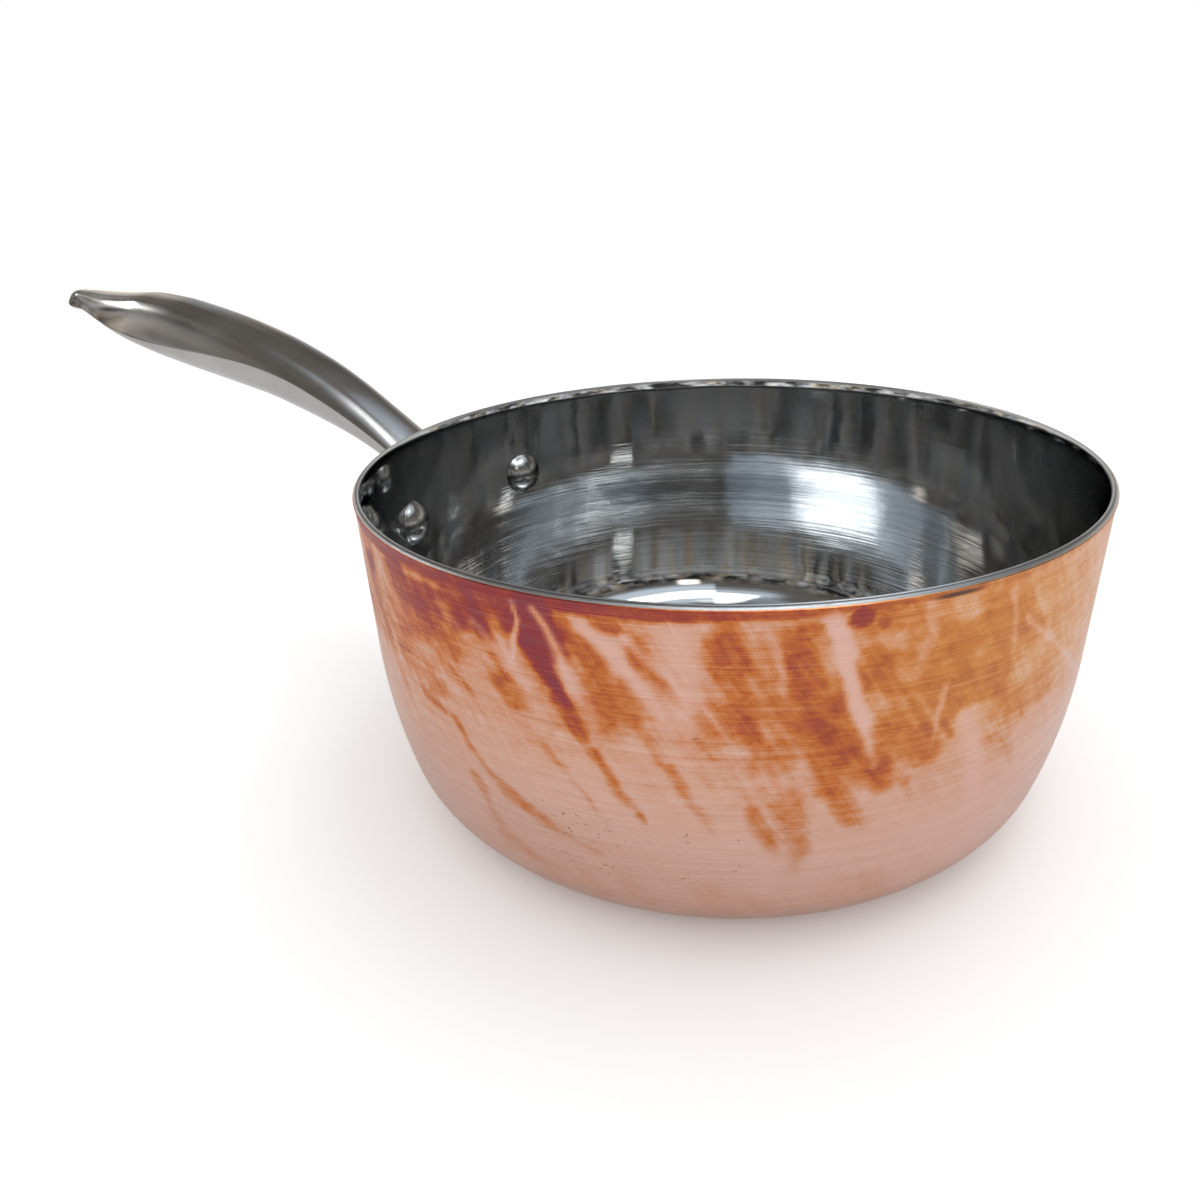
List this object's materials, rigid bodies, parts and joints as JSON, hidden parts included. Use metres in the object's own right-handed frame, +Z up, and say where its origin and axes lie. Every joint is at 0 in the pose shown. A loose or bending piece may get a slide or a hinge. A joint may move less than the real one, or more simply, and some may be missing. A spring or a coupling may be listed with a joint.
{
  "type": "saucepan",
  "caption": "Copper-clad saucepan: rounded bowl with a polished steel lining, slight pouring rim and one long cast steel handle held by domed rivets.",
  "frame": {"origin": "centre of the flat base's underside, on the bowl's axis", "axes": "+Z up along the bowl's axis, +X out along the handle, +Y to the left of the handle seen from above its tip"},
  "size_m": [0.3793, 0.1828, 0.1188],
  "materials": {
    "copper": "satin brushed copper with orange and red tarnish",
    "core_aluminium": "matte turned edge",
    "lining_steel": "mirror-polished stainless steel",
    "handle_steel": "satin polished cast stainless steel",
    "rivet_steel": "polished stainless steel"
  },
  "bodies": {
    "root": {"copper_shell": "copper", "aluminium_core": "core_aluminium", "steel_lining": "lining_steel", "handle": "handle_steel", "rivet_left": "rivet_steel", "rivet_right": "rivet_steel"}
  },
  "joints": []
}
